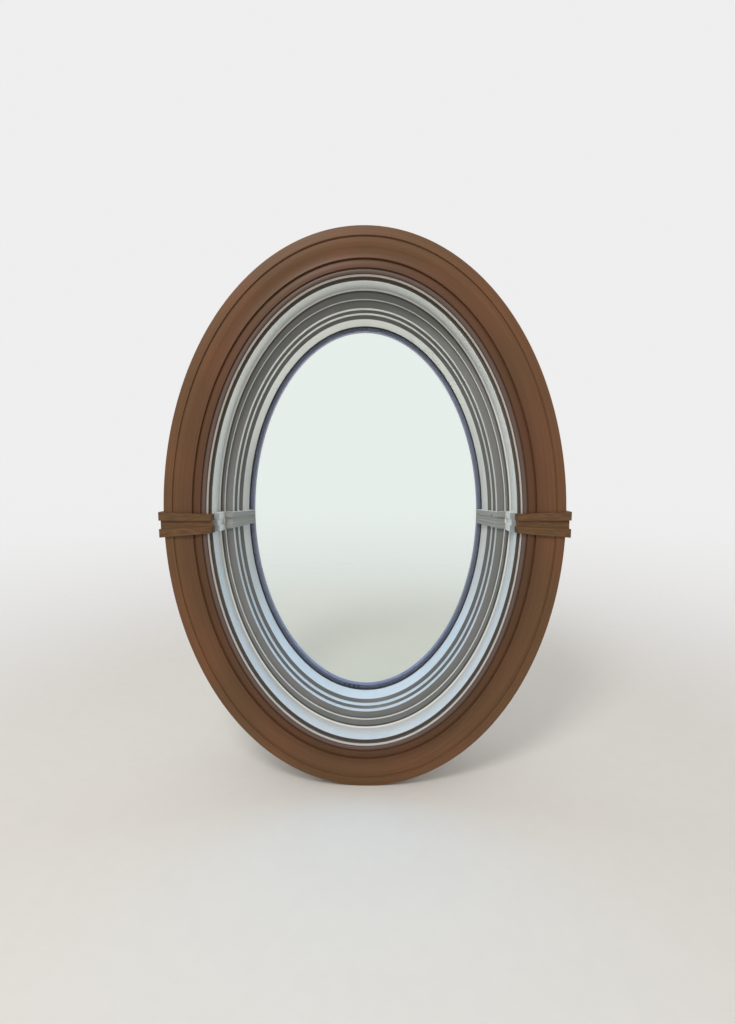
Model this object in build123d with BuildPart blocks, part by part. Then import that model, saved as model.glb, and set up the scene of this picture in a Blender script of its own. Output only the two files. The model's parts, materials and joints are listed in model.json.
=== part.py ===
"""Oval fixed window: casing, jamb extension, frame, fixed sash, glazing and keyed blocks.

The origin is the centre of the oval in the plane of the room's wall. +X is to the right as seen from the room,
+Y runs through the wall to the outside and +Z is up.
"""
from build123d import *
import math
import os

os.makedirs("parts", exist_ok=True)

# The oval of the jamb, and how much shorter the window unit's oval is at the top and at the bottom
oval_width = 593.0
oval_height = 898.0
unit_end_step = 7.5
half_turn = 180.0

# Interior casing
casing_width = 80.0
casing_thickness = 23.0
casing_reveal = 4.6
casing_fillet_width = 16.3
casing_outer_step = 3.0
casing_swell_width = 17.5
casing_swell_rise = 0.85
casing_waist_height = 17.5
casing_hollow_width = 17.8
casing_hollow_sink = 1.2
casing_hollow_height = 16.0
casing_inner_step = 4.5
casing_slope_width = 13.6
casing_slope_swell = 0.9
casing_crest_height = 14.0
casing_crest_width = 2.2
casing_groove_width = 2.4
casing_groove_depth = 3.0
casing_round_outer_height = 12.0
casing_round_height = 10.6
casing_round_swell = 1.2
casing_quirk_width = 1.2
casing_quirk_depth = 1.5
casing_bead_width = 2.2
casing_bead_height = 10.6
casing_bead_swell = 0.7
casing_edge_height = 7.0
casing_edge_round = 1.0
casing_relief_depth = 2.5
casing_relief_inner_land = 17.4
casing_relief_outer_land = 14.5
casing_relief_slope = 2.0

# Keystone blocks on the casing
block_outer_overhang = 7.2
block_inner_overhang = 4.5
block_outer_height = 49.0
block_inner_height = 36.0
block_outer_thickness = 29.0
block_inner_thickness = 15.0
block_strip_sink = 4.0
block_end_sink = 2.0
block_strip_share = 1 / 3
butt_gap = 0.2

# Jamb extension
jamb_depth = 42.5
jamb_thickness = 18.0

# Window frame
frame_depth = 108.5
frame_outer_offset = 26.0
frame_wall = 18.0
lip_inset = 11.5
lip_thickness = 3.5
frame_nose_chamfer = 2.0

# Fixed sash, its seal and the stop behind it
sash_gap = 0.3
sash_seal_thickness = 2.0
sash_seal_setback = 2.0
sash_face_inset = 26.0
sash_step_depth = 10.5
sash_slope_depth = 4.5
rebate_inset = 31.0
sash_leg_thickness = 10.0
sash_leg_chamfer = 4.0
outer_stop_depth = 12.0
outer_stop_inset = 36.0
outer_stop_chamfer = 5.0

# Glazing
bead_gap = 0.2
bead_set_back = 11.0
bead_nose_inset = 37.5
bead_nose_depth = 5.0
bead_sight_inset = 43.4
bead_depth = 34.0
gasket_thickness = 3.0
gasket_outer_thickness = 2.0
gasket_lap = 1.6
pane_thickness = 4.0
air_space = 12.0
pane_outline_count = 48
glass_edge_gap = 5.5
glass_seal_height = 6.5
spacer_height = 8.5
setting_block_length = 60.0
setting_block_offset = 80.0
setting_block_gap = 0.3

# Key blocks on the jamb and on the sash
reveal_block_setback = 8.0
reveal_block_thickness = 11.5
reveal_block_height = 37.0
reveal_strip_sink = 3.0
sash_block_outer_height = 36.0
sash_block_glass_height = 28.0
sash_block_front_step = 0.5
sash_block_knee = 28.0
sash_block_glass_end = 4.0
sash_block_glass_lap = 3.5
sash_block_glass_gap = 0.3
cope_gap = 0.3

# Nailing fin
fin_setback = 73.5
fin_thickness = 1.6
fin_width = 32.0
fin_tongue = 6.0
fin_shoulder = 0.2
fin_kerf_gap = 0.1
fin_hole_diameter = 5.0
fin_hole_offset = 18.0
fin_hole_count = 12

# Screws through the jamb extension and splines in the joints
screw_count = 8
screw_offset = 12.0
screw_diameter = 4.0
screw_head_diameter = 8.0
screw_head_height = 3.0
screw_sink = 12.0
screw_bite = 25.0
screw_hole_gap = 0.2
screw_pilot_gap = 0.1
spline_length = 40.0
spline_gap = 0.2
frame_spline_width = 24.0
frame_spline_thickness = 5.0
sash_spline_width = 30.0
sash_spline_thickness = 8.0

# Half sizes of the two ovals, and the depths that the pieces share
jamb_a = oval_width / 2
jamb_b = oval_height / 2
unit_a = jamb_a
unit_b = jamb_b - unit_end_step
lip_back = jamb_depth + lip_thickness
frame_back = jamb_depth + frame_depth
frame_inner_offset = frame_outer_offset - frame_wall
sash_front = lip_back + sash_seal_thickness
sash_step_back = sash_front + sash_step_depth
sash_slope_back = sash_step_back + sash_slope_depth
bead_front = sash_slope_back + bead_set_back
bead_back = bead_front + bead_depth
pane_inner_front = bead_back + gasket_thickness
spacer_front = pane_inner_front + pane_thickness
pane_outer_front = spacer_front + air_space
glass_back = pane_outer_front + pane_thickness
sash_leg_front = glass_back + gasket_outer_thickness
sash_back = sash_leg_front + sash_leg_thickness
glass_edge_inset = rebate_inset + glass_edge_gap
spacer_edge_inset = glass_edge_inset + glass_seal_height
spacer_sight_inset = spacer_edge_inset + spacer_height
fin_front = jamb_depth + fin_setback
fin_inner_offset = frame_outer_offset - fin_tongue
tongue_front = fin_front + fin_shoulder
tongue_back = fin_front + fin_thickness - fin_shoulder
casing_outer_offset = casing_reveal + casing_width

# Paths: the upper halves of the two ovals, from three o'clock over the top to nine o'clock
with BuildLine(Plane.XZ) as jamb_path:
    EllipticalCenterArc((0, 0), jamb_a, jamb_b, arc_size=half_turn)

with BuildLine(Plane.XZ) as unit_path:
    EllipticalCenterArc((0, 0), unit_a, unit_b, arc_size=half_turn)


def oval_point(a, b, angle, offset):
    """Point on the curve parallel to the oval at the given offset, as (x, z)."""
    x = a * math.cos(math.radians(angle))
    z = b * math.sin(math.radians(angle))
    normal_x = x / a**2
    normal_z = z / b**2
    length = math.hypot(normal_x, normal_z)
    return x + offset * normal_x / length, z + offset * normal_z / length


def oval_points(a, b, count, offset):
    """Points evenly stepped round the parallel curve, none of them on an axis."""
    step = 360 / count
    return [oval_point(a, b, step * (index + 0.5), offset) for index in range(count)]


def unit_section(*corners):
    """Closed section at three o'clock, from corners given as (offset from the unit's oval, depth)."""
    with BuildSketch(Plane.XY) as section:
        with BuildLine():
            Polyline(*[(unit_a + offset, depth) for offset, depth in corners], close=True)
        make_face()
    return section.sketch


def strip_section(height, front, back, sink):
    """Block section across its length: three strips, the middle one sunk, as (z, y) corners."""
    half = height / 2
    edge = half * block_strip_share
    return [
        (-half, back),
        (-half, front),
        (-edge, front),
        (-edge, front + sink),
        (edge, front + sink),
        (edge, front),
        (half, front),
        (half, back),
    ]


def wall_plane(depth):
    """Plane parallel to the wall at the given depth, seen from the room."""
    return Plane.XZ.offset(-depth)


def block_plane(x):
    """Plane across a block at the given x, with its first axis up and its second through the wall."""
    return Plane(origin=(x, 0, 0), x_dir=(0, 0, 1), z_dir=(-1, 0, 0))


# Interior casing, one moulding bent to the oval
fillet_inner = casing_outer_offset - casing_fillet_width
waist = fillet_inner - casing_swell_width
hollow_inner = waist - casing_hollow_width
crest = hollow_inner - casing_slope_width
crest_edge = crest - casing_crest_width
round_outer = crest_edge - casing_groove_width
bead_outer = casing_reveal + casing_bead_width
quirk_outer = bead_outer + casing_quirk_width
quirk_height = casing_bead_height - casing_quirk_depth
swell_height = casing_thickness - casing_outer_step
slope_foot_height = casing_hollow_height - casing_inner_step
groove_height = casing_crest_height - casing_groove_depth
relief_outer = casing_outer_offset - casing_relief_outer_land
relief_inner = casing_reveal + casing_relief_inner_land


def casing_point(offset, height):
    """Corner of the casing's section: offset from the jamb's oval, height in front of the wall."""
    return jamb_a + offset, -height


with BuildSketch(Plane.XY) as casing_section:
    with BuildLine():
        Polyline(
            casing_point(casing_reveal, casing_edge_height),
            casing_point(casing_reveal, 0),
            casing_point(relief_inner, 0),
            casing_point(relief_inner + casing_relief_slope, casing_relief_depth),
            casing_point(relief_outer - casing_relief_slope, casing_relief_depth),
            casing_point(relief_outer, 0),
            casing_point(casing_outer_offset, 0),
            casing_point(casing_outer_offset, casing_thickness - casing_edge_round),
            casing_point(casing_outer_offset - casing_edge_round, casing_thickness),
            casing_point(fillet_inner, casing_thickness),
            casing_point(fillet_inner, swell_height),
        )
        SagittaArc(
            casing_point(fillet_inner, swell_height),
            casing_point(waist, casing_waist_height),
            casing_swell_rise,
        )
        SagittaArc(
            casing_point(waist, casing_waist_height),
            casing_point(hollow_inner, casing_hollow_height),
            -casing_hollow_sink,
        )
        Line(
            casing_point(hollow_inner, casing_hollow_height),
            casing_point(hollow_inner, slope_foot_height),
        )
        SagittaArc(
            casing_point(hollow_inner, slope_foot_height),
            casing_point(crest, casing_crest_height),
            casing_slope_swell,
        )
        Polyline(
            casing_point(crest, casing_crest_height),
            casing_point(crest_edge, casing_crest_height),
            casing_point(crest_edge, groove_height),
            casing_point(round_outer, groove_height),
            casing_point(round_outer, casing_round_outer_height),
        )
        SagittaArc(
            casing_point(round_outer, casing_round_outer_height),
            casing_point(quirk_outer, casing_round_height),
            casing_round_swell,
        )
        Polyline(
            casing_point(quirk_outer, casing_round_height),
            casing_point(quirk_outer, quirk_height),
            casing_point(bead_outer, quirk_height),
            casing_point(bead_outer, casing_bead_height),
        )
        SagittaArc(
            casing_point(bead_outer, casing_bead_height),
            casing_point(casing_reveal, casing_edge_height),
            casing_bead_swell,
        )
    make_face()

block_inner_x = jamb_a - block_inner_overhang
block_outer_x = jamb_a + casing_outer_offset + block_outer_overhang

with BuildPart() as casing_upper:
    sweep(casing_section.sketch, path=jamb_path.line)
    # Cut to the sides of the tapered keystone blocks
    for side in (-1, 1):
        with BuildSketch(wall_plane(0)):
            with BuildLine():
                Polyline(
                    (side * block_inner_x, -block_inner_height),
                    (side * block_inner_x, block_inner_height / 2 + butt_gap),
                    (side * block_outer_x, block_outer_height / 2 + butt_gap),
                    (side * block_outer_x, -block_inner_height),
                    close=True,
                )
            make_face()
        extrude(amount=casing_thickness, both=True, mode=Mode.SUBTRACT)

with BuildPart() as casing_lower:
    mirror(casing_upper.part, about=Plane.XY)

# Keystone blocks over the casing's joints
with BuildPart() as casing_block_right:
    block_ends = (
        (block_inner_x, block_inner_height, block_inner_thickness),
        (block_outer_x, block_outer_height, block_outer_thickness),
    )
    for x, height, thickness in block_ends:
        with BuildSketch(block_plane(x)):
            with BuildLine():
                Polyline(*strip_section(height, -thickness, 0, block_strip_sink), close=True)
            make_face()
    loft(ruled=True)
    # The middle strip stops short at both ends
    for x, height, thickness in block_ends:
        with Locations((x, 0, 0)):
            Box(2 * block_end_sink, 2 * thickness, height * block_strip_share, mode=Mode.SUBTRACT)

with BuildPart() as casing_block_left:
    mirror(casing_block_right.part, about=Plane.YZ)

# Screws that hold the jamb extension to the frame, under the casing
screw_points = oval_points(jamb_a, jamb_b, screw_count, screw_offset)
screw_end = jamb_depth + screw_bite
screw_head_back = screw_sink + screw_head_height

with BuildPart() as extension_screws:
    with BuildSketch(wall_plane(screw_sink)):
        with Locations(*screw_points):
            Circle(screw_head_diameter / 2)
    extrude(amount=-screw_head_height)
    with BuildSketch(wall_plane(screw_head_back)):
        with Locations(*screw_points):
            Circle(screw_diameter / 2)
    extrude(amount=-(screw_end - screw_head_back))

# Jamb extension, flush with the room's wall
with BuildPart() as jamb_upper:
    with BuildSketch(Plane.XY):
        with Locations((jamb_a, 0)):
            Rectangle(jamb_thickness, jamb_depth, align=(Align.MIN, Align.MIN))
    sweep(path=jamb_path.line)
    with BuildSketch(wall_plane(0)):
        with Locations(*screw_points):
            Circle(screw_diameter / 2 + screw_hole_gap)
    extrude(amount=-jamb_depth, mode=Mode.SUBTRACT)
    with BuildSketch(wall_plane(0)):
        with Locations(*screw_points):
            Circle(screw_head_diameter / 2 + screw_hole_gap)
    extrude(amount=-screw_head_back, mode=Mode.SUBTRACT)

with BuildPart() as jamb_lower:
    mirror(jamb_upper.part, about=Plane.XY)

# Loose tongues across the joints of the frame and of the sash
frame_spline_x = unit_a + frame_inner_offset + frame_wall / 2
frame_spline_y = (lip_back + fin_front) / 2
sash_spline_x = unit_a - (rebate_inset - frame_inner_offset + sash_gap) / 2
sash_spline_y = (bead_front + sash_leg_front) / 2

with BuildPart() as frame_splines:
    with Locations((-frame_spline_x, frame_spline_y, 0), (frame_spline_x, frame_spline_y, 0)):
        Box(frame_spline_thickness, frame_spline_width, spline_length)

with BuildPart() as sash_splines:
    with Locations((-sash_spline_x, sash_spline_y, 0), (sash_spline_x, sash_spline_y, 0)):
        Box(sash_spline_thickness, sash_spline_width, spline_length)

# Window frame: a wall round the sash with a thin lip on the room side
with BuildPart() as frame_upper:
    frame_section = unit_section(
        (frame_outer_offset, jamb_depth),
        (-lip_inset, jamb_depth),
        (-lip_inset, lip_back),
        (frame_inner_offset, lip_back),
        (frame_inner_offset, frame_back),
        (frame_outer_offset - frame_nose_chamfer, frame_back),
        (frame_outer_offset, frame_back - frame_nose_chamfer),
    )
    sweep(frame_section, path=unit_path.line)
    # Kerf that takes the fin's tongue
    kerf_section = unit_section(
        (fin_inner_offset - fin_kerf_gap, tongue_front - fin_kerf_gap),
        (frame_outer_offset + fin_tongue, tongue_front - fin_kerf_gap),
        (frame_outer_offset + fin_tongue, tongue_back + fin_kerf_gap),
        (fin_inner_offset - fin_kerf_gap, tongue_back + fin_kerf_gap),
    )
    sweep(kerf_section, path=unit_path.line, mode=Mode.SUBTRACT)
    with BuildSketch(wall_plane(jamb_depth)):
        with Locations(*screw_points):
            Circle(screw_diameter / 2 + screw_pilot_gap)
    extrude(amount=-(screw_bite + 1), mode=Mode.SUBTRACT)
    with Locations((-frame_spline_x, frame_spline_y, 0), (frame_spline_x, frame_spline_y, 0)):
        Box(
            frame_spline_thickness + 2 * spline_gap,
            frame_spline_width + 2 * spline_gap,
            spline_length + 2 * spline_gap,
            mode=Mode.SUBTRACT,
        )

with BuildPart() as frame_lower:
    mirror(frame_upper.part, about=Plane.XY)

# Nailing fin, a flat strip with a thinner tongue in the kerf
with BuildPart() as fin_upper:
    fin_section = unit_section(
        (fin_inner_offset, tongue_front),
        (frame_outer_offset + fin_kerf_gap, tongue_front),
        (frame_outer_offset + fin_kerf_gap, fin_front),
        (frame_outer_offset + fin_width, fin_front),
        (frame_outer_offset + fin_width, fin_front + fin_thickness),
        (frame_outer_offset + fin_kerf_gap, fin_front + fin_thickness),
        (frame_outer_offset + fin_kerf_gap, tongue_back),
        (fin_inner_offset, tongue_back),
    )
    sweep(fin_section, path=unit_path.line)
    fin_holes = oval_points(unit_a, unit_b, fin_hole_count, frame_outer_offset + fin_hole_offset)
    with BuildSketch(wall_plane(fin_front)):
        with Locations(*fin_holes):
            Circle(fin_hole_diameter / 2)
    extrude(amount=-fin_thickness, mode=Mode.SUBTRACT)

with BuildPart() as fin_lower:
    mirror(fin_upper.part, about=Plane.XY)

# Fixed sash: stepped on the room side, with a rebate for the glass and a leg behind it
with BuildPart() as sash_upper:
    sash_section = unit_section(
        (frame_inner_offset - sash_gap, sash_front),
        (-sash_face_inset, sash_front),
        (-sash_face_inset, sash_step_back),
        (-rebate_inset, sash_slope_back),
        (-rebate_inset, sash_leg_front),
        (-bead_sight_inset, sash_leg_front),
        (-bead_sight_inset, sash_back - sash_leg_chamfer),
        (-bead_sight_inset + sash_leg_chamfer, sash_back),
        (frame_inner_offset - sash_gap, sash_back),
    )
    sweep(sash_section, path=unit_path.line)
    with Locations((-sash_spline_x, sash_spline_y, 0), (sash_spline_x, sash_spline_y, 0)):
        Box(
            sash_spline_thickness + 2 * spline_gap,
            sash_spline_width + 2 * spline_gap,
            spline_length + 2 * spline_gap,
            mode=Mode.SUBTRACT,
        )

with BuildPart() as sash_lower:
    mirror(sash_upper.part, about=Plane.XY)

# Seal between the frame's lip and the sash
with BuildPart() as sash_seal:
    seal_section = unit_section(
        (frame_inner_offset - sash_gap, lip_back),
        (-lip_inset + sash_seal_setback, lip_back),
        (-lip_inset + sash_seal_setback, sash_front),
        (frame_inner_offset - sash_gap, sash_front),
    )
    sweep(seal_section, path=unit_path.line)
    mirror(about=Plane.XY)

# Stop that holds the sash in from outside
with BuildPart() as outer_stop_upper:
    stop_section = unit_section(
        (frame_inner_offset - sash_gap, sash_back),
        (-outer_stop_inset, sash_back),
        (-outer_stop_inset, sash_back + outer_stop_depth - outer_stop_chamfer),
        (-outer_stop_inset + outer_stop_chamfer, sash_back + outer_stop_depth),
        (frame_inner_offset - sash_gap, sash_back + outer_stop_depth),
    )
    sweep(stop_section, path=unit_path.line)

with BuildPart() as outer_stop_lower:
    mirror(outer_stop_upper.part, about=Plane.XY)

# Splayed glazing bead on the room side of the glass
with BuildPart() as glazing_bead_upper:
    bead_section = unit_section(
        (-rebate_inset - bead_gap, bead_front),
        (-bead_nose_inset, bead_front + bead_nose_depth),
        (-bead_sight_inset, bead_back),
        (-rebate_inset - bead_gap, bead_back),
    )
    sweep(bead_section, path=unit_path.line)

with BuildPart() as glazing_bead_lower:
    mirror(glazing_bead_upper.part, about=Plane.XY)


def glazing_section(outer_inset, inner_inset, front, back):
    """Flat strip of the glazing, between two insets and two depths."""
    return unit_section((-outer_inset, front), (-inner_inset, front), (-inner_inset, back), (-outer_inset, back))


with BuildPart() as gasket_inner:
    sweep(
        glazing_section(glass_edge_inset, bead_sight_inset + gasket_lap, bead_back, pane_inner_front),
        path=unit_path.line,
    )
    mirror(about=Plane.XY)

with BuildPart() as gasket_outer:
    sweep(
        glazing_section(glass_edge_inset, bead_sight_inset + gasket_lap, glass_back, sash_leg_front),
        path=unit_path.line,
    )
    mirror(about=Plane.XY)

with BuildPart() as glass_seal:
    sweep(
        glazing_section(glass_edge_inset, spacer_edge_inset, spacer_front, pane_outer_front),
        path=unit_path.line,
    )
    mirror(about=Plane.XY)

with BuildPart() as glass_spacer:
    sweep(
        glazing_section(spacer_edge_inset, spacer_sight_inset, spacer_front, pane_outer_front),
        path=unit_path.line,
    )
    mirror(about=Plane.XY)

# Two panes with the same outline
pane_points = oval_points(unit_a, unit_b, pane_outline_count, -glass_edge_inset)

with BuildPart() as pane_inner:
    with BuildSketch(wall_plane(pane_inner_front)):
        with BuildLine():
            Spline(*pane_points, periodic=True)
        make_face()
    extrude(amount=-pane_thickness)

with BuildPart() as pane_outer:
    with BuildSketch(wall_plane(pane_outer_front)):
        with BuildLine():
            Spline(*pane_points, periodic=True)
        make_face()
    extrude(amount=-pane_thickness)

# Two pads under the glass, cut from a strip that follows the rebate
with BuildPart() as setting_blocks:
    sweep(
        glazing_section(
            rebate_inset + setting_block_gap,
            glass_edge_inset - setting_block_gap,
            pane_inner_front,
            glass_back,
        ),
        path=unit_path.line,
    )
    mirror(about=Plane.XY, mode=Mode.REPLACE)
    with Locations((setting_block_offset, glass_back, -unit_b)):
        Box(setting_block_length, 2 * glass_back, 2 * unit_b, mode=Mode.INTERSECT)
    mirror(about=Plane.YZ)

# Key blocks on the jamb, in line with the blocks on the casing
reveal_block_front = jamb_a - reveal_block_thickness

with BuildPart() as reveal_block_right:
    with BuildSketch(wall_plane(reveal_block_setback)):
        with BuildLine():
            Polyline(
                *[
                    (x, z)
                    for z, x in strip_section(
                        reveal_block_height, reveal_block_front, jamb_a, reveal_strip_sink
                    )
                ],
                close=True,
            )
        make_face()
        Ellipse(jamb_a, jamb_b, mode=Mode.INTERSECT)
    extrude(amount=-(jamb_depth - reveal_block_setback))

with BuildPart() as reveal_block_left:
    mirror(reveal_block_right.part, about=Plane.YZ)

# Key blocks over the stepped mouldings, coped to their section
sash_block_front = jamb_depth - sash_block_front_step
sash_block_end = pane_inner_front - sash_block_glass_gap
sash_block_inner_x = unit_a - spacer_sight_inset - sash_block_glass_lap
sash_block_knee_x = unit_a - sash_block_knee
sash_block_outer_x = unit_a - lip_inset

with BuildPart() as sash_block_right:
    taper = (sash_block_outer_height - sash_block_glass_height) / (sash_block_outer_x - sash_block_inner_x)
    knee_height = sash_block_glass_height + taper * (sash_block_knee_x - sash_block_inner_x)
    block_stations = (
        (sash_block_outer_x, sash_block_outer_height, sash_block_front),
        (sash_block_knee_x, knee_height, sash_block_front),
        (sash_block_inner_x, sash_block_glass_height, sash_block_end - sash_block_glass_end),
    )
    for near, far in zip(block_stations[:-1], block_stations[1:]):
        for x, height, front in (near, far):
            with BuildSketch(block_plane(x)):
                with BuildLine():
                    Polyline(*strip_section(height, front, sash_block_end, reveal_strip_sink), close=True)
                make_face()
        loft(ruled=True)
    # Cope: the room-side outline of lip, sash and bead, stood off by the cope gap
    cope_section = unit_section(
        (frame_outer_offset, jamb_depth - cope_gap),
        (-lip_inset - cope_gap, jamb_depth - cope_gap),
        (-lip_inset - cope_gap, sash_front - cope_gap),
        (-sash_face_inset - cope_gap, sash_front - cope_gap),
        (-sash_face_inset - cope_gap, sash_step_back - cope_gap),
        (-rebate_inset - cope_gap, sash_slope_back - cope_gap),
        (-rebate_inset - cope_gap, bead_front - cope_gap),
        (-bead_nose_inset - cope_gap, bead_front + bead_nose_depth - cope_gap),
        (-bead_sight_inset - cope_gap, bead_back - cope_gap),
        (-bead_sight_inset - gasket_lap - cope_gap, bead_back - cope_gap),
        (-bead_sight_inset - gasket_lap - cope_gap, pane_inner_front),
        (frame_outer_offset, pane_inner_front),
    )
    sweep(cope_section, path=unit_path.line, mode=Mode.SUBTRACT)
    with BuildLine(Plane.XZ) as lower_path:
        EllipticalCenterArc((0, 0), unit_a, unit_b, arc_size=-half_turn)
    sweep(cope_section, path=lower_path.line, mode=Mode.SUBTRACT)

with BuildPart() as sash_block_left:
    mirror(sash_block_right.part, about=Plane.YZ)

pieces = {
    "casing_upper": casing_upper,
    "casing_lower": casing_lower,
    "casing_block_left": casing_block_left,
    "casing_block_right": casing_block_right,
    "jamb_upper": jamb_upper,
    "jamb_lower": jamb_lower,
    "reveal_block_left": reveal_block_left,
    "reveal_block_right": reveal_block_right,
    "frame_upper": frame_upper,
    "frame_lower": frame_lower,
    "fin_upper": fin_upper,
    "fin_lower": fin_lower,
    "sash_upper": sash_upper,
    "sash_lower": sash_lower,
    "sash_block_left": sash_block_left,
    "sash_block_right": sash_block_right,
    "sash_seal": sash_seal,
    "outer_stop_upper": outer_stop_upper,
    "outer_stop_lower": outer_stop_lower,
    "glazing_bead_upper": glazing_bead_upper,
    "glazing_bead_lower": glazing_bead_lower,
    "gasket_inner": gasket_inner,
    "gasket_outer": gasket_outer,
    "glass_seal": glass_seal,
    "glass_spacer": glass_spacer,
    "pane_inner": pane_inner,
    "pane_outer": pane_outer,
    "setting_blocks": setting_blocks,
    "extension_screws": extension_screws,
    "frame_splines": frame_splines,
    "sash_splines": sash_splines,
}

for name, piece in pieces.items():
    piece.part.label = name
    export_step(piece.part, f"parts/{name}.step")
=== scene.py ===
# %% [markdown]
# # An oval window dressed for its portrait
#
# This is a fixed oval window seen from indoors. A brown casing goes round it, a pale jamb lines the opening,
# and a grey frame steps back to sealed glass. The solids come ready made, so the work here is to give them
# soft arrises, paint, wood, rubber, metal and glass, and then light and a camera.

import json
import math

import bmesh
import bpy
from mathutils import Matrix, Vector


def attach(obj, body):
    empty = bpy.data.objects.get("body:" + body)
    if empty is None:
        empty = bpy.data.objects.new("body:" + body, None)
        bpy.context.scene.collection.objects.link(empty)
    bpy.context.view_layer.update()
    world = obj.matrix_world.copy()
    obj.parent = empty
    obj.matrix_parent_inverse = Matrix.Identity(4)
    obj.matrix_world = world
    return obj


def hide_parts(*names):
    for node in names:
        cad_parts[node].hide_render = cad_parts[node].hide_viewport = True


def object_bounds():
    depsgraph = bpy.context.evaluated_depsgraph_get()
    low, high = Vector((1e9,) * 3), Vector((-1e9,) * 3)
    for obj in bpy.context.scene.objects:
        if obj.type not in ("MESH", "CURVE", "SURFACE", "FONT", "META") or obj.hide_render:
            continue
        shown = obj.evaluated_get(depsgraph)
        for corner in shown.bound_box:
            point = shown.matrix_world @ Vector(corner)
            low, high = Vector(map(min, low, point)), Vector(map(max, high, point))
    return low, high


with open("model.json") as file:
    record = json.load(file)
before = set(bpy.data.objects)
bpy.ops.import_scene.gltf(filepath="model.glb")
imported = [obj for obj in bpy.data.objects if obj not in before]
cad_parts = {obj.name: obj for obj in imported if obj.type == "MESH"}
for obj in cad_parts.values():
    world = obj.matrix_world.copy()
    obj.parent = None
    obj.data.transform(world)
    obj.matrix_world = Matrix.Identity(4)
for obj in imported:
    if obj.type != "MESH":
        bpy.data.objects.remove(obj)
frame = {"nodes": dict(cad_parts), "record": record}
nodes = frame["nodes"]
mm = 0.001


def as_numbers(box):
    return [list(map(float, corner)) for corner in box]


cad_box = as_numbers(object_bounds())
print("solids:", len(nodes), "box:", cad_box)

# %% [markdown]
# ## Camera
#
# A wide lens close to the window shows the depth of the reveal all round. The camera could be aimed with a
# constraint, but one matrix of a place and three turns says exactly where it stands, and nothing can move it
# later. The turns are in radians.

# %% Camera
camera_place = (0.0245, -0.8768, 0.1187)
camera_turn = 0.0193725
camera_tilt = -0.110665
camera_roll = -0.0029656

lens = bpy.data.cameras.new("portrait")
lens.sensor_fit = "VERTICAL"
lens.sensor_height = 36.0
lens.lens = 16.0
camera = bpy.data.objects.new("portrait", lens)
camera.matrix_world = (
    Matrix.Translation(camera_place)
    @ Matrix.Rotation(camera_turn, 4, "Z")
    @ Matrix.Rotation(math.pi / 2 + camera_tilt, 4, "X")
    @ Matrix.Rotation(camera_roll, 4, "Z")
)
scene = bpy.context.scene
scene.collection.objects.link(camera)
scene.camera = camera
scene.view_settings.view_transform = "Standard"
print("camera at", camera_place, "lens", lens.lens)

# %% [markdown]
# ## Shader maths in plain words
#
# Every finish below is a node tree. Nodes could be placed and linked one by one, but a sum of three numbers
# then takes six lines. Here a socket is wrapped in a small class, so that an ordinary expression adds its own
# Math nodes.


# %% Sockets that can be reckoned with
class Wire:
    """One value on its way between shader nodes."""

    def __init__(self, finish, socket):
        self.finish = finish
        self.socket = socket

    def output(self, name):
        """Another output of the node that this value comes from."""
        return Wire(self.finish, self.socket.node.outputs[name])

    def __add__(self, other):
        return self.finish.maths("ADD", self, other)

    def __radd__(self, other):
        return self.finish.maths("ADD", other, self)

    def __sub__(self, other):
        return self.finish.maths("SUBTRACT", self, other)

    def __rsub__(self, other):
        return self.finish.maths("SUBTRACT", other, self)

    def __mul__(self, other):
        return self.finish.maths("MULTIPLY", self, other)

    def __rmul__(self, other):
        return self.finish.maths("MULTIPLY", other, self)

    def __truediv__(self, other):
        return self.finish.maths("DIVIDE", self, other)

    def __rtruediv__(self, other):
        return self.finish.maths("DIVIDE", other, self)

    def __pow__(self, other):
        return self.finish.maths("POWER", self, other)

    def rise(self, low, high):
        """0 below low, 1 above high and a soft slope between them."""
        return self.finish.node(
            "ShaderNodeMapRange",
            {"interpolation_type": "SMOOTHSTEP"},
            {"Value": self, "From Min": low, "From Max": high},
        )


# %% [markdown]
# ## A finish in the making
#
# Each kind of node could have a helper of its own, but there are dozens of kinds. One method makes any node,
# from its kind, its settings and its sockets, and the few helpers after it name what is used again and again.


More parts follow.
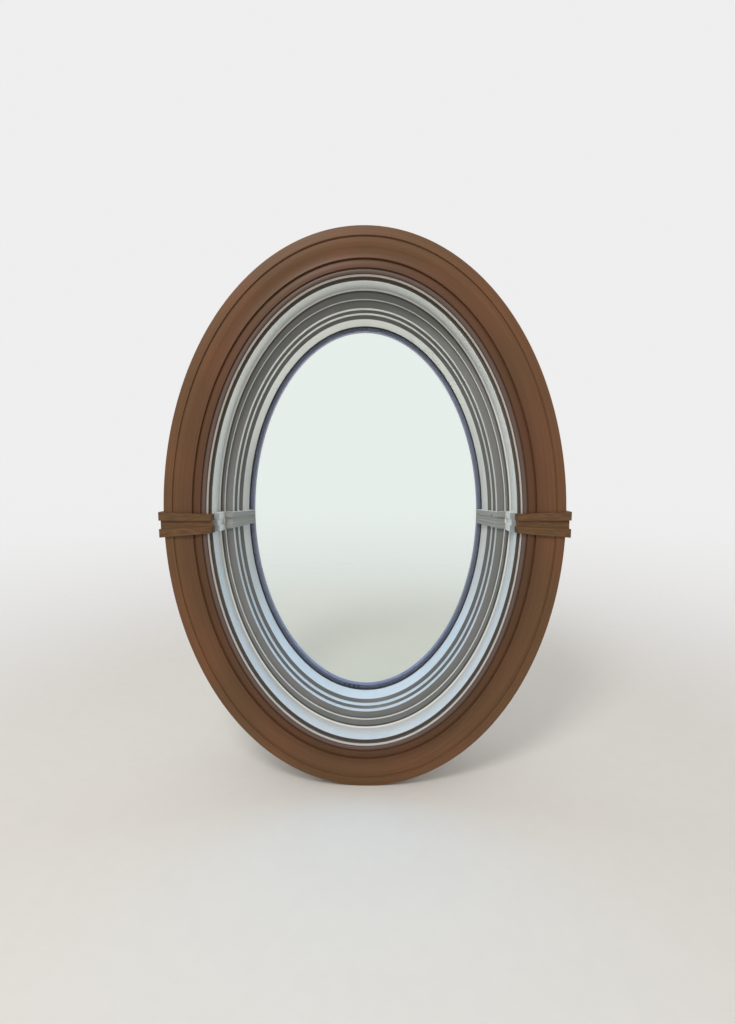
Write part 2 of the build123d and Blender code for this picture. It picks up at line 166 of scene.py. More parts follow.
# %% Finishes and colours
class Finish:
    """A finish in the making, in a new material or in another node tree."""

    def __init__(self, name, tree=None):
        self.name = name
        if tree is None:
            self.material = bpy.data.materials.new(name)
            self.material.use_nodes = True
            tree = self.material.node_tree
        self.tree = tree
        self.tree.nodes.clear()

    def node(self, kind, settings=None, sockets=None, output=0):
        """Makes any node and gives back one of its outputs, or the node itself if it has none."""
        made = self.tree.nodes.new(kind)
        for name, value in (settings or {}).items():
            setattr(made, name, value)
        for name, value in (sockets or {}).items():
            if isinstance(value, Wire):
                self.tree.links.new(value.socket, made.inputs[name])
            else:
                made.inputs[name].default_value = value
        return Wire(self, made.outputs[output]) if made.outputs else made

    def maths(self, operation, *values):
        return self.node("ShaderNodeMath", {"operation": operation}, dict(enumerate(values)))

    def mix(self, mask, below, above):
        """One colour where the mask is 0, another where it is 1. A Mix node's colours are 6, 7 and out 2."""
        return self.node("ShaderNodeMix", {"data_type": "RGBA"}, {0: mask, 6: below, 7: above}, output=2)

    def vector(self, x, y, z):
        return self.node("ShaderNodeCombineXYZ", None, {0: x, 1: y, 2: z})

    def split(self, vector):
        """The three parts of a vector."""
        x = self.node("ShaderNodeSeparateXYZ", None, {0: vector})
        return x, x.output("Y"), x.output("Z")

    def place(self):
        """Where the point lies on the object, in metres."""
        return self.node("ShaderNodeTexCoord", output="Object")

    def noise(self, place, scale=1.0, detail=2.0):
        return self.node("ShaderNodeTexNoise", None, {"Vector": place, "Scale": scale, "Detail": detail})

    def grain(self, directions, lengthwise, crosswise, detail):
        """Noise drawn out along a piece, with so many changes a metre lengthwise and crosswise."""
        along, out, depth = directions
        return self.noise(self.vector(along * lengthwise, out * crosswise, depth * crosswise), detail=detail)

    def rounded(self, radius):
        """Normals that make the arrises of a plain solid look rounded."""
        return self.node("ShaderNodeBevel", None, {"Radius": radius})

    def relief(self, height, depth, under=None):
        """A bump of the given real depth in metres, over other normals if there are any."""
        sockets = {"Height": height, "Strength": 1.0, "Distance": depth}
        if under:
            sockets["Normal"] = under
        return self.node("ShaderNodeBump", None, sockets)

    def shader(self, sockets):
        return self.node("ShaderNodeBsdfPrincipled", None, sockets)

    def done(self, shader):
        """Wires a shader to the material's output."""
        self.node("ShaderNodeOutputMaterial", None, {"Surface": shader})
        print("finish", self.name, "nodes:", len(self.tree.nodes))
        return self.material


def colour(red, green, blue):
    """A colour as it is seen on a screen, 0 to 255, turned into the numbers that a shader takes."""
    levels = (red / 255, green / 255, blue / 255)
    return (*(c / 12.92 if c <= 0.04045 else ((c + 0.055) / 1.055) ** 2.4 for c in levels), 1.0)


print("a mid brown:", [round(level, 3) for level in colour(120, 90, 62)])

# %% [markdown]
# ## Two ovals
#
# The casing and the jamb follow one oval, and the window unit follows another that is a little shorter. A
# moulding has the same width all the way round only if each of its lines is parallel to the oval, so a point
# is found by going out from the oval along its normal. The same idea, written in shader maths, gives the
# finishes three directions to work with: along the moulding, out from the oval and to the back.

# %% Ovals and their directions
jamb_oval = (296.5 * mm, 449.0 * mm)
unit_oval = (296.5 * mm, 441.5 * mm)


def beside(oval, turn, out):
    """The point at a turn round the oval, moved out along its normal, as (x, z)."""
    a, b = oval
    x, z = a * math.cos(turn), b * math.sin(turn)
    normal = Vector((x / a**2, z / b**2)).normalized()
    return x + out * normal.x, z + out * normal.y


def moulding_directions(finish, oval):
    """Wires for a shader: along the moulding, out from the oval and depth, all in metres."""
    a, b = oval
    x, y, z = finish.split(finish.place())
    u, w = x / a, z / b
    size = (u * u + w * w) ** 0.5
    steepness = ((u / a) ** 2 + (w / b) ** 2) ** 0.5
    along = finish.maths("ARCTAN2", w, u) * ((a + b) / 2)
    return along, (size - 1) * size / steepness, y


def jamb_directions(finish):
    return moulding_directions(finish, jamb_oval)


def unit_directions(finish):
    return moulding_directions(finish, unit_oval)


print("width and height of the jamb:", 2 * jamb_oval[0], 2 * jamb_oval[1])

# %% [markdown]
# ## A moulding's profile
#
# A cutter for a moulding has hollows, rounds and small flats, and sandpaper takes the edge off each corner.
# The profile could be a drawn curve, but a list of its corners is easier to measure and to change. It is
# drawn once as a face, its hollows and rounds are bowed, and its corners are softened by a vertex bevel. Each
# row says how far out and how deep a corner lies, how much it is softened and how far the side after it bows
# into the wood, all in millimetres.


# %% A profile with softened corners
short_side = 5 * mm
cuts_on_short_side, cuts_on_long_side = 5, 11


def nearest(bm, corner):
    """The vertex at a corner of the profile, given in mm."""
    place = Vector((*corner, 0)) * mm
    return min(bm.verts, key=lambda vert: (vert.co - place).length)


def bow_side(bm, first_corner, last_corner, bow):
    """Bends the side between two corners into a bow that is so many mm deep."""
    start, end = nearest(bm, first_corner), nearest(bm, last_corner)
    first, span = start.co.copy(), end.co - start.co
    side = Vector((span.y, -span.x, 0)).normalized() * bow * mm
    cuts = cuts_on_short_side if span.length < short_side else cuts_on_long_side
    cut = bmesh.ops.subdivide_edges(bm, edges=[bm.edges.get((start, end))], cuts=cuts)
    for vert in (piece for piece in cut["geom_inner"] if isinstance(piece, bmesh.types.BMVert)):
        share = (vert.co - first).length / span.length
        vert.co += side * 4 * share * (1 - share)


def draw_profile(rows):
    """A profile as a flat face, from rows of out, depth, softness and bow in mm."""
    corners = [(out, depth) for out, depth, _, _ in rows]
    bm = bmesh.new()
    bm.faces.new([bm.verts.new(Vector((*corner, 0)) * mm) for corner in corners])
    for corner, following, (_, _, _, bow) in zip(corners, corners[1:] + corners[:1], rows):
        if bow:
            bow_side(bm, corner, following, bow)
    for radius in sorted({softness for _, _, softness, _ in rows} - {0}):
        bmesh.ops.bevel(
            bm,
            geom=[nearest(bm, (out, depth)) for out, depth, softness, _ in rows if softness == radius],
            offset=radius * mm,
            segments=3,
            profile=0.5,
            affect="VERTICES",
            material=-1,
            clamp_overlap=True,
        )
    return bm


trial = draw_profile([(0, 0, 1, 0), (0, -10, 1, 0), (10, -10, 1, 0), (10, 0, 1, 0)])
print("points round a softened square:", len(trial.verts))
trial.free()

# %% [markdown]
# ## A moulding bent round the oval
#
# A real oval casing is cut from laminated blanks with a cutter that runs round a template. A curve could
# carry the profile, but a curve drawn with handles is only nearly an ellipse. So the profile's outline is
# spun half a turn round a circle, and each point is then pushed from the circle onto its exact place beside
# the oval.

# %% A profile spun and pushed onto the oval
steps_per_half = 160
sharpest_smooth_edge = math.radians(35)


def close_holes(bm):
    bmesh.ops.holes_fill(bm, edges=[edge for edge in bm.edges if edge.is_boundary], sides=0)


def bend_round(bm, oval, upper):
    """Spins the profile half a turn over the top or under the bottom, and lays it beside the oval."""
    bmesh.ops.delete(bm, geom=bm.faces[:], context="FACES_ONLY")
    bmesh.ops.translate(bm, vec=(1, 0, 0), verts=bm.verts)
    bmesh.ops.spin(
        bm,
        geom=bm.verts[:] + bm.edges[:],
        cent=(0, 0, 0),
        axis=(0, 1, 0),
        angle=-math.pi if upper else math.pi,
        steps=steps_per_half,
    )
    close_holes(bm)
    for vert in bm.verts:
        x, depth, z = vert.co
        across, up = beside(oval, math.atan2(z, x), math.hypot(x, z) - 1)
        vert.co = (across, depth, up)


def cut_off(bm, place, away):
    """Cuts with a plane through a place, drops what lies on the away side and closes the cut."""
    bmesh.ops.bisect_plane(
        bm,
        geom=bm.verts[:] + bm.edges[:] + bm.faces[:],
        plane_co=place,
        plane_no=away,
        clear_outer=True,
    )
    close_holes(bm)


def finish_piece(bm, name, material):
    """Turns the mesh into a smooth shaded piece that rides on the window."""
    bmesh.ops.recalc_face_normals(bm, faces=bm.faces)
    for edge in bm.edges:
        edge.smooth = edge.calc_face_angle(math.pi) < sharpest_smooth_edge
    for face in bm.faces:
        face.smooth = True
    mesh = bpy.data.meshes.new(name)
    bm.to_mesh(mesh)
    bm.free()
    mesh.materials.append(material)
    piece = bpy.data.objects.new(name, mesh)
    scene.collection.objects.link(piece)
    even = piece.modifiers.new("even shading", "WEIGHTED_NORMAL")
    even.keep_sharp = True
    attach(piece, "root")
    print(name, "faces:", len(mesh.polygons))
    return piece


print("steps round half an oval:", steps_per_half)

# %% [markdown]
# ## The casing's brown
#
# The casing is wood under a satin brown finish, wiped on along the moulding. A flat brown would look like
# plastic, so the colour drifts slowly between a warmer and a greener brown, and fine streaks run with the
# moulding.


# %% Brown finish
def brown_finish(name, find_directions, shades, streakiness, shade_edges):
    """A stained brown. Each piece has its own way to shade its edges."""
    finish = Finish(name)
    directions = find_directions(finish)
    drift = finish.grain(directions, 7, 7, detail=1.0)
    streaks = finish.grain(directions, 6, 330, detail=3.0)
    pores = finish.grain(directions, 60, 1500, detail=2.0)
    brown = finish.mix(drift.rise(0.35, 0.65), *shades)
    brown = finish.mix(streaks.rise(0.35, 0.7) * streakiness, brown, colour(84, 58, 38))
    return finish.done(
        finish.shader(
            {
                "Base Color": shade_edges(finish, directions, brown),
                "Roughness": 0.42 + 0.15 * streaks,
                "Specular IOR Level": 0.28,
                "Normal": finish.relief(0.6 * streaks + 0.4 * pores, 0.12 * mm),
            }
        )
    )

# %% [markdown]
# ## The casing's own shades
#
# The brown grows darker towards the jamb. The round there is greyed with painted light from the window, the
# thin bead at the inner edge is pale, and the edge below it takes the dark of the joint, which also paints
# its shade. Each could be a material of its own, but they run into each other, so masks on the distance from
# the oval and on the depth lay them over one brown.

# %% The casing's own shades
inward_darkening_fades = 10 * mm, 72 * mm
window_lit_round_ends = 14.5 * mm, 15.5 * mm
bead_ends = 6.5 * mm, 7.0 * mm
joint_shade_starts = -6.6 * mm, -6.0 * mm
joint_dark_and_shade = colour(92, 83, 75)


def shade_casing(finish, directions, brown):
    _, out, depth = directions
    # The brown darkens towards the jamb
    inward_darkening = (1 - out.rise(*inward_darkening_fades)) * 0.6
    brown = finish.mix(inward_darkening, brown, colour(76, 48, 32))
    # Painted light: the round near the jamb is greyed as the window's light falls on it
    window_lit_round = (1 - out.rise(*window_lit_round_ends)) * 0.6
    brown = finish.mix(window_lit_round, brown, colour(108, 98, 94))
    bead = 1 - out.rise(*bead_ends)
    brown = finish.mix(bead, brown, colour(192, 182, 172))
    # The edge below the bead takes the joint's dark colour, which also paints the joint's shade
    joint_shade_mask = depth.rise(*joint_shade_starts) * bead
    return finish.mix(joint_shade_mask, brown, joint_dark_and_shade)


casing_shades = colour(122, 82, 54), colour(111, 80, 51)
casing_brown = brown_finish("casing_brown", jamb_directions, casing_shades, 0.3, shade_casing)

# %% [markdown]
# ## The casing
#
# From its outer edge in, the profile has a flat fillet, a small step, a long swell that runs into a hollow,
# a second step, a slope that rises to a crest, a groove, a round and a fine bead. Its back is hollowed, so
# that only two narrow bands have to lie flat. A whole ring could be made at once, but the real casing is two
# halves, cut where the key blocks stand. Each block narrows towards the centre, so the cut is a plane through
# two points of its side.

# %% Casing halves
casing_profile = [
    (4.6, -7.0, 0.2, 0),
    (4.6, 0.0, 0.3, 0),
    (22.0, 0.0, 0, 0),
    (24.0, -2.5, 0, 0),
    (68.1, -2.5, 0, 0),
    (70.1, 0.0, 0, 0),
    (84.6, 0.0, 0.5, 0),
    (84.6, -23.0, 1.0, 0),
    (68.3, -23.0, 0.7, 0),
    (68.3, -20.0, 0.3, -0.85),
    (50.8, -17.5, 0, 1.2),
    (33.0, -16.0, 0.7, 0),
    (33.0, -11.5, 0.3, -0.9),
    (19.4, -14.0, 0.4, 0),
    (17.2, -14.0, 0.4, 0),
    (17.2, -11.0, 0.3, 0),
    (14.8, -11.0, 0.3, 0),
    (14.8, -12.0, 0.3, -1.2),
    (8.0, -10.6, 0.3, 0),
    (8.0, -9.1, 0, 0),
    (6.8, -9.1, 0, 0),
    (6.8, -10.6, 0.3, -0.7),
]
block_inner, block_outer = Vector((292.0, 18.2)) * mm, Vector((388.3, 24.7)) * mm
block_slope = block_outer - block_inner


def make_casing(name, up):
    """Half of the casing: up is 1 for the upper half and -1 for the lower one."""
    bm = draw_profile(casing_profile)
    bend_round(bm, jamb_oval, up > 0)
    for side in (-1, 1):
        place = (side * block_inner.x, 0, up * block_inner.y)
        cut_off(bm, place, (side * block_slope.y, 0, -up * block_slope.x))
    return finish_piece(bm, name, casing_brown)


halves = {"upper": 1, "lower": -1}
for half, up in halves.items():
    casing = make_casing(f"casing_moulding_{half}", up)
    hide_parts(f"casing_{half}")

# %% [markdown]
# ## Grey paint on the window unit
#
# The frame, the sash and the bead that holds the glass are painted a soft grey. The surface's own normal says
# which way it looks: faces that look to the front get a painted shade, darker still deeper in, and the
# reveals, which look across the opening to the daylight, get painted light. Brush lines run along the
# mouldings as a very fine relief, and the colour drifts a little, as a brushed coat does. The solids that
# keep their own shape also get rounded normals and a dark joint beside the caulk, which also paints the shade
# there.


# %% Grey finish
recess_shade_depths = 52 * mm, 60 * mm
joint_shade_outer_side, joint_shade_inner_side = (-3.0 * mm, -2.4 * mm), (-7.5 * mm, -5.5 * mm)


def facing_front(finish):
    """1 where a face looks to the front, 0 where it looks across the opening."""
    _, backwards, _ = finish.split(finish.node("ShaderNodeNewGeometry", output="Normal"))
    return (0 - backwards).rise(0.35, 0.65)


def grey_finish(name, soft_edge):
    finish = Finish(name)
    directions = unit_directions(finish)
    drift = finish.grain(directions, 12, 12, detail=1.0).rise(0.3, 0.7)
    brush = finish.grain(directions, 14, 900, detail=2.0)
    # Painted light for the reveals, and painted shade for the faces that look to the front
    window_lit_grey = finish.mix(drift, colour(197, 198, 194), colour(203, 202, 199))
    front_shaded_grey = finish.mix(drift, colour(122, 123, 118), colour(128, 126, 124))
    _, _, depth = directions
    # Painted shade: the front faces deeper in the steps are darker
    front_shaded_grey = finish.mix(depth.rise(*recess_shade_depths), front_shaded_grey, colour(98, 98, 94))
    grey = finish.mix(facing_front(finish), window_lit_grey, front_shaded_grey)
    if soft_edge:
        # A dark joint beside the caulk, which also paints the shade in that corner
        _, out, _ = jamb_directions(finish)
        joint_shade_mask = out.rise(*joint_shade_inner_side) * (1 - out.rise(*joint_shade_outer_side))
        grey = finish.mix(joint_shade_mask * 0.8, grey, colour(66, 64, 58))
    grey = finish.mix(brush.rise(0.45, 0.8) * 0.12, grey, colour(110, 110, 106))
    under = finish.rounded(soft_edge) if soft_edge else None
    return finish.done(
        finish.shader(
            {
                "Base Color": grey,
                "Roughness": 0.38 + 0.14 * brush,
                "Specular IOR Level": 0.4,
                "Normal": finish.relief(brush, 0.05 * mm, under),
            }
        )
    )


frame_grey = grey_finish("frame_grey", 0)
frame_grey_soft = grey_finish("frame_grey_soft", 0.7 * mm)

# %% [markdown]
# ## Sash and glazing bead
#
# The sash steps in towards the glass and ends in a small slope. The bead in front of the glass is splayed, so
# that the light slides down it. They could share one profile, but the bead has to come off when the glass is
# changed, so it is a piece of its own. Both are made as the casing is, on the oval of the window unit.

# %% Sash and glazing bead
sash_profile = [
    (7.7, 48.0, 0.5, 0),
    (-26.0, 48.0, 0.9, 0),
    (-26.0, 58.5, 0.4, 0),
    (-31.0, 63.0, 0.6, 0),
    (-31.0, 133.0, 0, 0),
    (-43.4, 133.0, 0.4, 0),
    (-43.4, 139.0, 0.6, 0),
    (-39.4, 143.0, 0.6, 0),
    (7.7, 143.0, 0.5, 0),
]
glazing_profile = [(-31.2, 74.0, 0.3, 0), (-37.5, 79.0, 0.8, 0), (-43.4, 108.0, 0.3, 0), (-31.2, 108.0, 0, 0)]


def make_unit_moulding(rows, name, up):
    """Half of a moulding of the window unit."""
    bm = draw_profile(rows)
    bend_round(bm, unit_oval, up > 0)
    return finish_piece(bm, name, frame_grey)


for half, up in halves.items():
    sash = make_unit_moulding(sash_profile, f"sash_moulding_{half}", up)
    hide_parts(f"sash_{half}")
    bead = make_unit_moulding(glazing_profile, f"glazing_moulding_{half}", up)
    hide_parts(f"glazing_bead_{half}")

# %% [markdown]
# ## White trim paint
#
# The jamb is brushed with white satin trim paint, and its brush lines run along it. A plain white would look
# like paper, so it drifts a little and greys in the brush lines. The narrow margin in front, beside the
# casing, takes the dark brown of the joint, which also paints the shade there.


# %% White finish
margin_ends = 0.2 * mm, 0.8 * mm


def white_finish(name, find_directions, soft_edge, front_painted_light_and_shade, dark_margin=False):
    """White trim paint. Front faces take the given colour: painted shade on trim, painted light on caulk."""
    finish = Finish(name)
    directions = find_directions(finish)
    drift = finish.grain(directions, 10, 10, detail=1.0)
    brush = finish.grain(directions, 12, 700, detail=2.5)
    white = finish.mix(drift.rise(0.3, 0.7), colour(207, 209, 205), colour(213, 212, 208))
    white = finish.mix(facing_front(finish), white, front_painted_light_and_shade)
    white = finish.mix(brush.rise(0.45, 0.85) * 0.15, white, colour(176, 174, 166))
    if dark_margin:
        _, _, depth = directions
        # The front margin takes the joint's dark colour, which also paints its shade
        white = finish.mix(1 - depth.rise(*margin_ends), white, joint_dark_and_shade)
    return finish.done(
        finish.shader(
            {
                "Base Color": white,
                "Roughness": 0.4 + 0.15 * brush,
                "Specular IOR Level": 0.4,
                "Normal": finish.relief(brush, 0.06 * mm, finish.rounded(soft_edge)),
            }
        )
    )


# The faces that look to the front get painted shade
trim_white = white_finish("trim_white", jamb_directions, 0.6 * mm, colour(160, 161, 158), dark_margin=True)

# %% [markdown]
# ## Key blocks on the casing and the jamb
#
# The key blocks cover the joints of the two halves. They are short pieces of board with the grain running
# across the window, so the directions of the mouldings would lay it the wrong way. The brown blocks end in
# dark end grain above the jamb.

# %% Block finishes
block_grain = 0.35
end_grain_from, end_grain_to = 292.4 * mm, 293.2 * mm


def block_directions(finish):
    """For a key block, drawn out along its grain: across the window, height and depth."""
    x, y, z = finish.split(finish.place())
    return x * block_grain, z, y


def shade_block(finish, directions, brown):
    along, _, _ = directions
    off_middle = finish.maths("ABSOLUTE", along)
    end = 1 - off_middle.rise(block_grain * end_grain_from, block_grain * end_grain_to)
    return finish.mix(end, brown, colour(58, 43, 31))


# The faces that look to the front get painted shade
block_white = white_finish("block_white", block_directions, 0.5 * mm, colour(166, 169, 168))
block_shades = colour(116, 83, 53), colour(110, 81, 50)
block_brown = brown_finish("block_brown", block_directions, block_shades, 0.7, shade_block)

# %% [markdown]
# ## Shaded key blocks at the glass
#
# The blocks over the stepped mouldings show the saw lines along the block. Their faces are painted grey as
# shade, their upper and lower sides near white as painted light, and the right one keeps an open nail hole.
# The hole could be cut in the mesh, but it is only a few millimetres wide, so a dark dot of painted shade
# with a dent in the relief will do.

# %% Shaded block finish
nail_depth, nail_height = 58.0 * mm, 7.8 * mm
nail_radius, nail_rim = 1.4 * mm, 2.2 * mm


def shaded_block_finish():
    finish = Finish("block_shaded")
    along, height, depth = block_directions(finish)
    sawn = finish.noise(finish.vector(along * 4, height * 420, depth * 4), detail=2.5)
    # Painted shade: the faces are grey
    shade = finish.mix(facing_front(finish), colour(143, 144, 139), colour(152, 153, 148))
    shade = finish.mix(sawn.rise(0.55, 0.72) * 0.45, shade, colour(104, 104, 99))
    _, _, upwards = finish.split(finish.node("ShaderNodeNewGeometry", output="Normal"))
    # Painted light: the upper and lower sides are near white
    lit_sides = finish.maths("ABSOLUTE", upwards).rise(0.5, 0.8)
    shade = finish.mix(lit_sides, shade, colour(207, 209, 207))
    reach = ((depth - nail_depth) ** 2 + (height - nail_height) ** 2) ** 0.5
    right_side = along.rise(0, 10 * mm)
    # The dark of the nail hole is painted shade
    hole = (1 - reach.rise(nail_radius, nail_rim)) * right_side
    return finish.done(
        finish.shader(
            {
                "Base Color": finish.mix(hole * 0.85, shade, colour(56, 54, 50)),
                "Roughness": 0.5 + 0.2 * sawn,
                "Specular IOR Level": 0.35,
                "Normal": finish.relief(0.4 * sawn - hole, 0.3 * mm, finish.rounded(0.6 * mm)),
            }
        )
    )


block_shaded = shaded_block_finish()

# %% [markdown]
# ## Caulk in the corners
#
# The joint between the jamb and the window unit is filled with a small bead of caulk. Its hollow face is what
# a wet finger leaves. A thinner bead closes the joint between the frame's lip and the sash, and stops at the
# key blocks. A bead could be a bevelled curve, but it follows the ovals as a moulding does, so it is made as
# two more mouldings. Its faces that look to the front are painted lighter than the paint beside it, as
# painted light.

# %% Caulk beads
# The caulk's faces that look to the front get painted light
caulk_white = white_finish("caulk_white", unit_directions, 0.3 * mm, colour(232, 233, 228))
caulk_profile = [(0.3, 39.6, 0, 0.5), (-2.9, 42.6, 0, 0), (0.3, 42.6, 0, 0)]
lip_bead_profile = [
    (-12.1, 45.8, 0, 0),
    (-12.1, 42.3, 0.2, 0),
    (-11.8, 41.8, 0.2, 0),
    (-10.9, 41.8, 0.2, 0),
    (-10.9, 42.6, 0, 0),
    (-11.4, 42.6, 0, 0),
    (-11.4, 45.8, 0, 0),
]
sash_block_half_height = 18.0 * mm

for half, up in halves.items():
    caulk = draw_profile(caulk_profile)
    bend_round(caulk, jamb_oval, up > 0)
    finish_piece(caulk, f"caulk_bead_{half}", caulk_white)
    lip_bead = draw_profile(lip_bead_profile)
    bend_round(lip_bead, unit_oval, up > 0)
    cut_off(lip_bead, (0, 0, up * sash_block_half_height), (0, 0, -up))
    finish_piece(lip_bead, f"lip_bead_{half}", caulk_white)

# %% [markdown]
# ## Caulk between the key blocks
#
# Where the block on the jamb meets the block at the glass, their sunk strips leave a slot, and it is smeared
# with caulk. The slot could be filled to its full depth, but only a thin skin shows, so each smear is a thin
# box.

# %% Caulk between the key blocks
smear_size = (3.4, 0.4, 12.2)
smear_across, smear_depth = 286.4, 42.5

for name, side in (("left", -1), ("right", 1)):
    smear = bmesh.new()
    bmesh.ops.create_cube(smear, size=mm)
    bmesh.ops.scale(smear, vec=smear_size, verts=smear.verts)
    bmesh.ops.translate(smear, vec=Vector((side * smear_across, smear_depth, 0)) * mm, verts=smear.verts)
    finish_piece(smear, f"key_caulk_{name}", caulk_white)

# %% [markdown]
# ## Rubber
#
# The gaskets beside the glass are matt black rubber, and the seal behind the frame's lip is a pale one. A
# flat colour could do for each, but rubber that has stood in the light gets a greyish bloom, so the colour
# changes between fresh and worn in fine patches along the strip.


# %% Rubber finishes
def rubber_finish(name, fresh, worn):
    finish = Finish(name)
    bloom = finish.grain(unit_directions(finish), 30, 200, detail=2.0)
    return finish.done(
        finish.shader(
            {
                "Base Color": finish.mix(bloom.rise(0.4, 0.75), fresh, worn),
                "Roughness": 0.62 + 0.2 * bloom,
                "Specular IOR Level": 0.3,
                "Normal": finish.relief(bloom, 0.05 * mm),
            }
        )
    )


gasket_black = rubber_finish("gasket_black", colour(52, 54, 58), colour(68, 70, 74))
seal_pale = rubber_finish("seal_pale", colour(186, 187, 180), colour(196, 196, 190))

# %% [markdown]
# ## Spacer
#
# The strip between the panes is dark anodised metal with a row of tiny holes, through which its drying beads
# take up damp. Cutting hundreds of holes would make a heavy mesh for something that is hardly seen, so a wave
# along the strip, kept to one narrow row, paints the shade in each hole and dents it.

# %% Spacer finish
hole_row_depth = 121 * mm
hole_row_ends = 0.25 * mm, 0.6 * mm
# A wave of 900 radians a metre puts a hole every 7 mm
hole_wave = 900


def spacer_finish():
    finish = Finish("spacer_dark")
    directions = unit_directions(finish)
    along, _, depth = directions
    brushed = finish.grain(directions, 20, 1200, detail=2.0)
    beat = finish.maths("SINE", along * hole_wave).rise(0.75, 0.95)
    row = 1 - finish.maths("ABSOLUTE", depth - hole_row_depth).rise(*hole_row_ends)
    # The dark in each hole is painted shade
    holes = beat * row
    base = finish.mix(brushed.rise(0.3, 0.7), colour(104, 107, 132), colour(120, 122, 148))
    return finish.done(
        finish.shader(
            {
                "Base Color": finish.mix(holes, base, colour(24, 25, 27)),
                "Metallic": 0.3 - 0.3 * holes,
                "Roughness": 0.42 + 0.12 * brushed,
                "Normal": finish.relief(1 - holes, 0.2 * mm),
            }
        )
    )


spacer_dark = spacer_finish()

# %% [markdown]
# ## Sheet metal and screws
#
# The nailing fin is sheet metal and the screws are plated. Seen close, both are a patchwork of crystals, each
# a slightly different grey. Noise has no flat cells, but a Voronoi texture has, large for the fin and small
# for the screws.


# %% Metal finishes
def metal_finish(name, shade, scale):
    finish = Finish(name)
    place = finish.place()
    cells = finish.node(
        "ShaderNodeTexVoronoi", {"feature": "F1"}, {"Vector": place, "Scale": scale}, output="Color"
    )
    spangle = finish.node("ShaderNodeSeparateColor", None, {0: cells})
    scratches = finish.noise(place, scale=scale * 4, detail=4.0)
    tone = finish.mix(spangle * 0.4, shade, colour(150, 152, 155))
    return finish.done(
        finish.shader(
            {
                "Base Color": finish.mix(scratches.rise(0.5, 0.8) * 0.3, tone, colour(120, 121, 122)),
                "Metallic": 0.9 - 0.2 * scratches,
                "Roughness": 0.34 + 0.12 * spangle + 0.1 * scratches,
                "Normal": finish.relief(scratches, 0.03 * mm),
            }
        )
    )


fin_metal = metal_finish("fin_metal", colour(196, 198, 200), 90.0)
screw_steel = metal_finish("screw_steel", colour(190, 186, 170), 400.0)

# %% [markdown]
# ## Hidden wood
#
# The splines and the outer parts that no one sees are bare joinery wood. Rings could be drawn, but on such
# small pieces a noise that is long one way and short the other two reads as grain.


# %% Bare wood finish
def wood_finish():
    finish = Finish("joinery_wood")
    x, y, z = finish.split(finish.place())
    grain = finish.noise(finish.vector(x * 300, y * 300, z * 14), detail=4.0)
    return finish.done(
        finish.shader(
            {
                "Base Color": finish.mix(grain.rise(0.35, 0.7), colour(206, 172, 128), colour(176, 138, 94)),
                "Roughness": 0.6 + 0.15 * grain,
                "Normal": finish.relief(grain, 0.1 * mm),
            }
        )
    )


joinery_wood = wood_finish()

# %% [markdown]
# ## Glass
#
# Window glass is clear straight on and mirrors more and more at a slant. Real refraction through two panes is
# slow and grainy and would block the lamps, so each pane lets light straight through and adds a mirror that
# grows with the slant, as the Fresnel node gives it. Light on its way out of a pane would be thrown back by
# that node, so the inner side of each face stays clear. A breath of dust keeps the pane from being nothing at
# all.


# %% Glass finish
def glass_finish():
    finish = Finish("glass")
    film = finish.noise(finish.place(), scale=9.0, detail=3.0)
    mirror = finish.shader(
        {
            "Base Color": finish.mix(film, colour(236, 242, 240), colour(247, 250, 249)),
            "Metallic": 1.0,
            "Roughness": 0.03 + 0.03 * film,
        }
    )
    clear = finish.node("ShaderNodeBsdfTransparent", None, {"Color": colour(253, 255, 254)})
    slant = finish.node("ShaderNodeFresnel", None, {"IOR": 1.45})
    inner_side = finish.node("ShaderNodeNewGeometry", output="Backfacing")
    shine = (slant + 0.01 * film) * (1 - inner_side)
    return finish.done(finish.node("ShaderNodeMixShader", None, {0: shine, 1: clear, 2: mirror}))


glass = glass_finish()

# %% [markdown]
# ## The finishes on the solids
#
# Each solid names the stuff that it is made of. Most take the finish of that name, and five take one of their
# own: the white key blocks, the shaded ones and the pale seal. Only the material is changed, never the mesh.

# %% Put the finishes on the solids
finishes = {
    "casing_brown": block_brown,
    "trim_white": trim_white,
    "frame_grey": frame_grey_soft,
    "joinery_wood": joinery_wood,
    "glass": glass,
    "gasket_black": gasket_black,
    "spacer_dark": spacer_dark,
    "fin_metal": fin_metal,
    "screw_steel": screw_steel,
}
special = {
    "reveal_block_left": block_white,
    "reveal_block_right": block_white,
    "sash_block_left": block_shaded,
    "sash_block_right": block_shaded,
    "sash_seal": seal_pale,
}
for part in frame["record"]["subparts"]:
    materials = nodes[part["node"]].data.materials
    materials.clear()
    materials.append(special.get(part["node"], finishes[part["material_slot"]]))

# %% [markdown]
# ## Floor
#
# The window stands on a pale matt floor that only catches its shadow. A floor with an edge would draw a
# horizon through the glass, so it fades into the plain background. The fade runs on one over the distance,
# because that is how the floor narrows to the eye.

# %% Floor
floor_half = 9.0
floor_lost, floor_whole = 0.12, 1.1
lowest = cad_box[0][2]
bm = bmesh.new()
bmesh.ops.create_grid(bm, x_segments=1, y_segments=1, size=floor_half)
bmesh.ops.translate(bm, vec=(0, 0, lowest), verts=bm.verts)
floor_mesh = bpy.data.meshes.new("floor")
bm.to_mesh(floor_mesh)
bm.free()
floor = bpy.data.objects.new("floor", floor_mesh)
scene.collection.objects.link(floor)

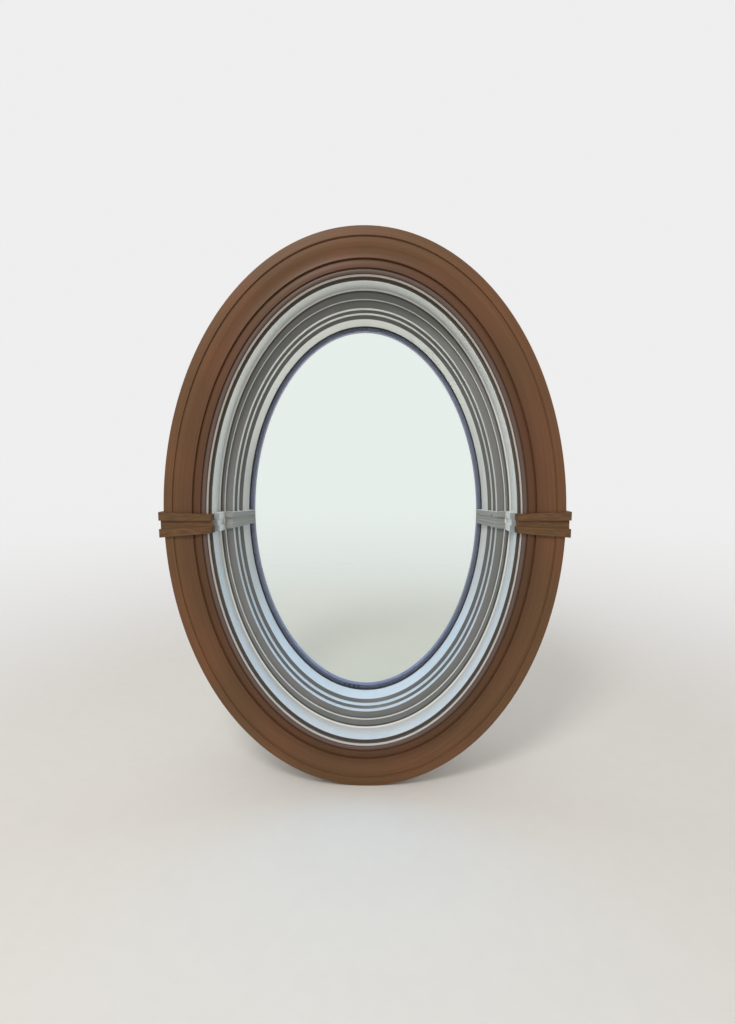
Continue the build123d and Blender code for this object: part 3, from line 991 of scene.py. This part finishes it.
pale = Finish("floor")
spot = pale.place()
reach = pale.node("ShaderNodeVectorMath", {"operation": "LENGTH"}, {0: spot}, output="Value")
speckle = pale.noise(spot, scale=40.0, detail=2.0)
floor_colour = pale.mix(speckle, colour(222, 217, 209), colour(226, 221, 213))
matt = pale.shader({"Base Color": floor_colour, "Roughness": 0.85})
nothing = pale.node("ShaderNodeBsdfTransparent")
fade = 1 - (1 / reach).rise(floor_lost, floor_whole)
floor_mesh.materials.append(pale.done(pale.node("ShaderNodeMixShader", None, {0: fade, 1: matt, 2: nothing})))
print("floor at", round(lowest, 4))

# %% [markdown]
# ## Background light
#
# A window is lit from both sides. A picture of real surroundings could give that light, but four shades that
# run into each other are enough: dim from below, brighter from above, and stronger behind the window. The
# camera, mirrors and glass don't see them. They see only a plain pale background.

# %% Background light
front_below, front_above = (0.26, 0.26, 0.26, 1), (0.64, 0.63, 0.62, 1)
back_below, back_above = (0.80, 0.82, 0.80, 1), (0.84, 0.87, 0.92, 1)
backdrop = (0.86, 0.86, 0.86, 1)

surroundings = bpy.data.worlds.new("soft light")
scene.world = surroundings
surroundings.use_nodes = True
light = Finish("soft light", surroundings.node_tree)
heading = light.node("ShaderNodeTexCoord", output="Generated")
_, backwards, upwards = light.split(heading)
front_light = light.mix(upwards.rise(-0.6, 0.8), front_below, front_above)
back_light = light.mix(upwards.rise(-0.5, 0.7), back_below, back_above)
lit = light.mix(backwards.rise(-0.15, 0.35), front_light, back_light)
path = light.node("ShaderNodeLightPath", output="Is Camera Ray")
seen = path + path.output("Is Glossy Ray") + path.output("Is Transmission Ray")
shown = light.mix(light.maths("MINIMUM", seen, 1.0), lit, backdrop)
glow = light.node("ShaderNodeBackground", None, {"Color": shown, "Strength": 1.0})
light.node("ShaderNodeOutputWorld", None, {"Surface": glow})
print(light.name, "nodes:", len(light.tree.nodes))

# %% [markdown]
# ## Lamps
#
# One large lamp in front, at the upper left, draws the steps of the casing. The daylight could come from one
# lamp far behind the window, but it would bleach the back. So two small lamps close behind the glass shine to
# the front only: a warm one for the head, which looks down, and a cool one for the sill, which looks up.
# Mirrors see the first lamp alone, because the others would stand in the panes as bright discs.


# %% Lamps
def hang_lamp(name, place, aim, size, watts, tint=(1.0, 1.0, 1.0), mirrored=False):
    """A round soft lamp that shines but isn't seen."""
    lamp = bpy.data.lights.new(name, "AREA")
    lamp.shape = "DISK"
    lamp.size = size
    lamp.energy = watts
    lamp.color = tint
    hung = bpy.data.objects.new(name, lamp)
    hung.location = place
    hung.rotation_euler = (Vector(place) - Vector(aim)).to_track_quat("Z", "Y").to_euler()
    hung.visible_camera = False
    hung.visible_transmission = False
    hung.visible_glossy = mirrored
    scene.collection.objects.link(hung)
    print(name, watts, "W at", place)


key_place = (-0.5, -1.3, 1.6)
behind_glass = 0.14
upper, lower = 0.2, -0.2
warm, cool = (1.0, 0.97, 0.93), (0.15, 0.5, 1.0)

hang_lamp("key", key_place, (0, 0, upper), size=0.6, watts=20, mirrored=True)
hang_lamp("upper daylight", (0, behind_glass, upper), (0, 0, upper), size=0.36, watts=0.8, tint=warm)
hang_lamp("lower daylight", (0, behind_glass, lower), (0, 0, lower), size=0.36, watts=0.85, tint=cool)
